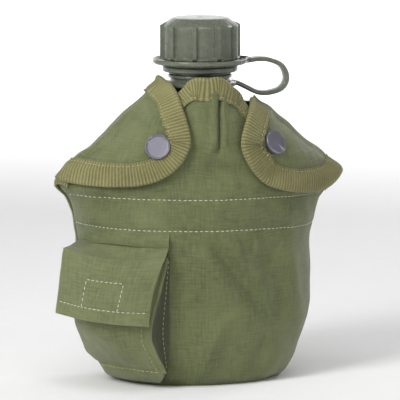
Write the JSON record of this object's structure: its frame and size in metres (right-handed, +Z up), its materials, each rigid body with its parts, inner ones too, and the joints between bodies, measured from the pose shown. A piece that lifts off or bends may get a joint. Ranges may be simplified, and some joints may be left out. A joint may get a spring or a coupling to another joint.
{
  "type": "canteen",
  "caption": "Kidney-shaped plastic field canteen with a tethered screw cap, in a fabric belt cover with snapped shoulder flaps and a tablet pocket.",
  "frame": {"origin": "resting face of the cover's bottom, directly below the axis of the bottle's neck", "axes": "+Z up along the neck; front of the cover towards -Y, belt keepers towards +Y; +X to the right seen from the front"},
  "size_m": [0.1772, 0.1021, 0.213],
  "materials": {
    "hard_plastic": "semi-gloss moulded polyethylene",
    "gasket_rubber": "matte",
    "fleece": "deep pile",
    "tape": "ribbed woven tape",
    "nylon": "plain woven, slight sheen",
    "snap_metal": "semi-gloss",
    "hook_and_loop": "fuzzy",
    "keeper_steel": "satin",
    "eyelet_metal": "satin"
  },
  "bodies": {
    "root": {"bottle_shell": "hard_plastic", "front_panel": "nylon", "back_panel": "nylon", "front_lining": "fleece", "back_lining": "fleece", "bottom_panel": "nylon", "bottom_lining": "fleece", "drain_eyelet": "eyelet_metal", "collar_tape": "tape", "left_snap_stud": "snap_metal", "left_snap_eyelet": "snap_metal", "right_snap_stud": "snap_metal", "right_snap_eyelet": "snap_metal", "pocket_bag": "nylon", "pocket_header": "nylon", "pocket_loop_patch": "hook_and_loop", "pocket_shelf": "nylon", "left_belt_webbing": "tape", "right_belt_webbing": "tape", "left_keeper_frame": "keeper_steel", "right_keeper_frame": "keeper_steel", "left_keeper_loop": "tape", "right_keeper_loop": "tape"},
    "strap": {"retaining_strap": "hard_plastic"},
    "cap_ring": {"strap_cap_ring": "hard_plastic"},
    "screw_cap": {"cap": "hard_plastic", "cap_gasket": "gasket_rubber"},
    "left_flap": {"left_flap": "nylon", "left_flap_tape": "tape", "left_snap_cap": "snap_metal", "left_snap_socket": "snap_metal"},
    "right_flap": {"right_flap": "nylon", "right_flap_tape": "tape", "right_snap_cap": "snap_metal", "right_snap_socket": "snap_metal"},
    "pocket_flap": {"pocket_flap": "nylon", "pocket_hook_patch": "hook_and_loop"},
    "left_slide": {"left_keeper_slide": "keeper_steel"},
    "right_slide": {"right_keeper_slide": "keeper_steel"}
  },
  "joints": [
    {"name": "strap_swivel", "type": "hinge", "parent": "root", "child": "strap", "pos_m": [0, 0, 0.1739], "axis": [0, 0, 1], "range_deg": [-20, 20]},
    {"name": "cap_rise", "type": "slide", "parent": "strap", "child": "cap_ring", "axis": [0, 0, 1], "range_m": [0, 0.00875]},
    {"name": "cap_turn", "type": "hinge", "parent": "cap_ring", "child": "screw_cap", "pos_m": [0, 0, 0.19], "axis": [0, 0, 1], "range_deg": [0, 630]},
    {"name": "left_flap_open", "type": "hinge", "parent": "root", "child": "left_flap", "pos_m": [-0.026, -0.009, 0.1715], "axis": [-0.7438, 0.1026, -0.6605], "range_deg": [0, 90]},
    {"name": "right_flap_open", "type": "hinge", "parent": "root", "child": "right_flap", "pos_m": [0.026, -0.009, 0.1715], "axis": [-0.7438, -0.1026, 0.6605], "range_deg": [0, 100]},
    {"name": "pocket_flap_open", "type": "hinge", "parent": "root", "child": "pocket_flap", "pos_m": [-0.0362, -0.0496, 0.0773], "axis": [-0.8133, 0.5798, 0.0483], "range_deg": [0, 140]},
    {"name": "left_slide_lift", "type": "slide", "parent": "root", "child": "left_slide", "axis": [0, 0, 1], "range_m": [0, 0.02]},
    {"name": "right_slide_lift", "type": "slide", "parent": "root", "child": "right_slide", "axis": [0, 0, 1], "range_m": [0, 0.02]}
  ],
  "couplings": [
    {"joint": "cap_rise", "follows": "cap_turn", "m_per_rad": 0.0007957}
  ]
}
